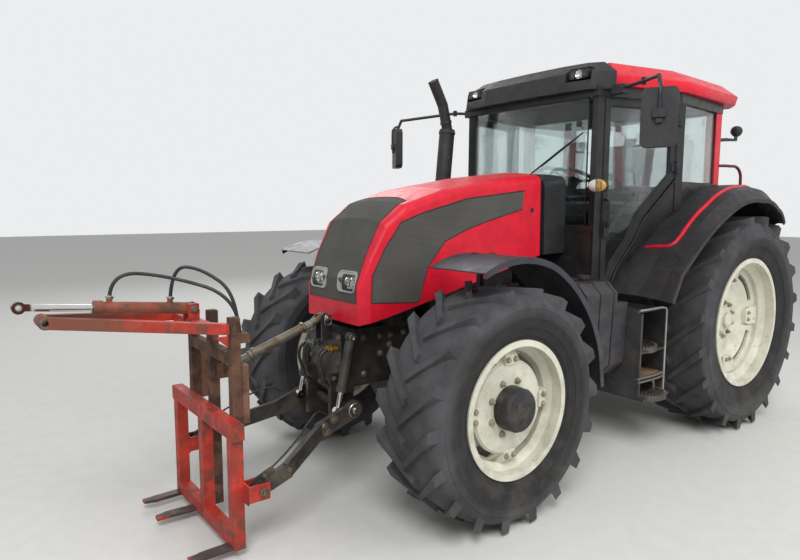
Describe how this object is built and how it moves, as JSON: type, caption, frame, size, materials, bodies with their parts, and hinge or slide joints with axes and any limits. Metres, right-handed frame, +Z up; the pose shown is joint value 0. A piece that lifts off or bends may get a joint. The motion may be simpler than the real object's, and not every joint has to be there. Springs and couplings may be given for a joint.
{
  "type": "farm tractor",
  "caption": "Wheeled farm tractor with glazed cab, folding front linkage that carries a lifting frame with hoses and a gripping ram, and a rear three-point linkage.",
  "frame": {"origin": "On the ground under the middle of the length, at the tyres' lowest point.", "axes": "+X points forward along the tractor, +Y to its left, +Z up."},
  "size_m": [5.8962, 2.6798, 2.7932],
  "materials": {
    "red_paint": "faded satin",
    "black_paint": "satin",
    "black_plastic": "matt",
    "dark_mesh": "perforated matt",
    "dark_metal": "worn, dirty",
    "steel": "brushed, stained",
    "rusty_steel": "rusty",
    "rusty_red": "worn paint, rust showing",
    "cream_paint": "dirty gloss",
    "tyre_rubber": "dusty matt",
    "hose_rubber": "matt",
    "glass": "clear, slightly tinted",
    "lamp_lens": "clear lens",
    "seat_cloth": "woven"
  },
  "bodies": {
    "chassis": {"engine_block": "dark_metal", "transmission_housing": "dark_metal", "front_support": "dark_metal", "front_axle_beam": "dark_metal", "radiator_pack": "black_plastic", "cab_frame": "black_paint", "cab_floor_and_cowl": "black_plastic", "cab_roof": "red_paint", "roof_visor": "black_plastic", "cab_glass": "glass", "driver_seat": "seat_cloth", "steering_console": "black_plastic", "rear_fenders": "black_plastic", "fuel_tanks": "black_plastic", "cab_steps": "dark_metal", "exhaust_stack": "steel", "mirrors": "black_plastic", "lamps": "lamp_lens", "rear_hitch": "dark_metal"},
    "bonnet": {"bonnet_shell": "red_paint", "bonnet_side_mesh": "dark_mesh", "front_grille": "dark_mesh", "headlamps": "lamp_lens"},
    "door_l": {"door_left": "black_paint", "door_left_glass": "glass"},
    "door_r": {"door_right": "black_paint", "door_right_glass": "glass"},
    "steer_l": {"knuckle_left": "dark_metal", "front_fender_left": "black_plastic"},
    "steer_r": {"knuckle_right": "dark_metal", "front_fender_right": "black_plastic"},
    "front_wheel_l": {"front_rim_left": "cream_paint", "front_tyre_left": "tyre_rubber"},
    "front_wheel_r": {"front_rim_right": "cream_paint", "front_tyre_right": "tyre_rubber"},
    "rear_wheel_l": {"rear_rim_left": "cream_paint", "rear_tyre_left": "tyre_rubber"},
    "rear_wheel_r": {"rear_rim_right": "cream_paint", "rear_tyre_right": "tyre_rubber"},
    "front_arms": {"front_lift_arms": "rusty_steel"},
    "front_toplink": {"front_top_link": "rusty_steel"},
    "front_rams": {"front_lift_rams": "dark_metal"},
    "front_ram_rods": {"front_lift_ram_rods": "steel"},
    "lift_frame": {"lift_frame_masts": "rusty_steel", "lift_frame_carriage": "rusty_red", "lift_frame_arms": "rusty_red", "hose_front_port": "hose_rubber", "hose_rear_port": "hose_rubber"},
    "grab_cyl": {"grab_cylinder": "rusty_steel"},
    "grab_rod": {"grab_cylinder_rod": "steel"},
    "rear_lower": {"rear_lower_links": "dark_metal"},
    "rear_arms": {"rear_lift_arms": "dark_metal"},
    "rear_rods": {"rear_lift_rods": "dark_metal"},
    "rear_toplink": {"rear_top_link": "dark_metal"},
    "pto": {"pto_shaft": "steel"}
  },
  "joints": [
    {"name": "rear_axle_left", "type": "hinge", "parent": "chassis", "child": "rear_wheel_l", "pos_m": [-1.884, 0.86, 0.845], "axis": [0, 1, 0], "continuous": true},
    {"name": "rear_axle_right", "type": "hinge", "parent": "chassis", "child": "rear_wheel_r", "pos_m": [-1.884, -0.86, 0.845], "axis": [0, 1, 0], "continuous": true},
    {"name": "steering_left", "type": "hinge", "parent": "chassis", "child": "steer_l", "pos_m": [0.778, 0.65, 0.665], "axis": [0, 0, 1], "range_deg": [-30, 30]},
    {"name": "steering_right", "type": "hinge", "parent": "chassis", "child": "steer_r", "pos_m": [0.778, -0.65, 0.665], "axis": [0, 0, 1], "range_deg": [-30, 30]},
    {"name": "front_axle_left", "type": "hinge", "parent": "steer_l", "child": "front_wheel_l", "pos_m": [0.778, 0.875, 0.665], "axis": [0, 1, 0], "continuous": true},
    {"name": "front_axle_right", "type": "hinge", "parent": "steer_r", "child": "front_wheel_r", "pos_m": [0.778, -0.875, 0.665], "axis": [0, 1, 0], "continuous": true},
    {"name": "bonnet_hinge", "type": "hinge", "parent": "chassis", "child": "bonnet", "pos_m": [-0.169, 0, 1.955], "axis": [0, -1, 0], "range_deg": [0, 50]},
    {"name": "door_left_hinge", "type": "hinge", "parent": "chassis", "child": "door_l", "pos_m": [-1.14466, 0.82415, 2.16], "axis": [0, 0, 1], "range_deg": [0, 38]},
    {"name": "door_right_hinge", "type": "hinge", "parent": "chassis", "child": "door_r", "pos_m": [-1.14466, -0.82415, 2.16], "axis": [0, 0, -1], "range_deg": [0, 38]},
    {"name": "front_lift", "type": "hinge", "parent": "chassis", "child": "front_arms", "pos_m": [1.306, 0, 0.5645], "axis": [0, -1, 0], "range_deg": [0, 35]},
    {"name": "front_toplink_hinge", "type": "hinge", "parent": "chassis", "child": "front_toplink", "pos_m": [1.348, 0, 1.08], "axis": [0, -1, 0], "range_deg": [0, 37.34]},
    {"name": "lift_frame_hinge", "type": "hinge", "parent": "front_arms", "child": "lift_frame", "pos_m": [1.976, 0, 0.33], "axis": [0, -1, 0], "range_deg": [-34.22, 0]},
    {"name": "front_ram_tilt", "type": "hinge", "parent": "chassis", "child": "front_rams", "pos_m": [1.296, 0, 0.985], "axis": [0, -1, 0], "range_deg": [0, 0.27]},
    {"name": "front_ram_travel", "type": "slide", "parent": "front_rams", "child": "front_ram_rods", "axis": [0.2175, 0, -0.9761], "range_m": [-0.0514, 0]},
    {"name": "grab_cylinder_tilt", "type": "hinge", "parent": "lift_frame", "child": "grab_cyl", "pos_m": [2.146, 0, 1.213], "axis": [0, -1, 0], "range_deg": [0, 25], "deforming": ["hose_front_port", "hose_rear_port"]},
    {"name": "grab_rod_travel", "type": "slide", "parent": "grab_cyl", "child": "grab_rod", "axis": [0.9953, 0, 0.0969], "range_m": [-0.26, 0.1]},
    {"name": "rear_lift", "type": "hinge", "parent": "chassis", "child": "rear_lower", "pos_m": [-2.074, 0, 0.56], "axis": [0, 1, 0], "range_deg": [-8, 28]},
    {"name": "rear_lift_shaft", "type": "hinge", "parent": "chassis", "child": "rear_arms", "pos_m": [-2.084, 0, 1.01], "axis": [0, 1, 0], "range_deg": [-9, 31]},
    {"name": "rear_rod_swing", "type": "hinge", "parent": "rear_arms", "child": "rear_rods", "pos_m": [-2.424, 0, 1.045], "axis": [0, 1, 0], "range_deg": [-31, 9]},
    {"name": "rear_toplink_hinge", "type": "hinge", "parent": "chassis", "child": "rear_toplink", "pos_m": [-2.279, 0, 0.9], "axis": [0, 1, 0], "range_deg": [-15, 30]},
    {"name": "pto_turn", "type": "hinge", "parent": "chassis", "child": "pto", "pos_m": [-2.244, 0, 0.7], "axis": [1, 0, 0], "continuous": true}
  ],
  "couplings": [
    {"joint": "steering_right", "follows": "steering_left", "ratio": 1},
    {"joint": "front_toplink_hinge", "follows": "front_lift", "ratio": 1.0668},
    {"joint": "lift_frame_hinge", "follows": "front_lift", "ratio": -0.9777},
    {"joint": "front_ram_tilt", "follows": "front_lift", "ratio": 0.0075},
    {"joint": "front_ram_travel", "follows": "front_lift", "m_per_rad": -0.084},
    {"joint": "rear_lift_shaft", "follows": "rear_lift", "ratio": 1.1},
    {"joint": "rear_rod_swing", "follows": "rear_lift", "ratio": -1.1}
  ]
}
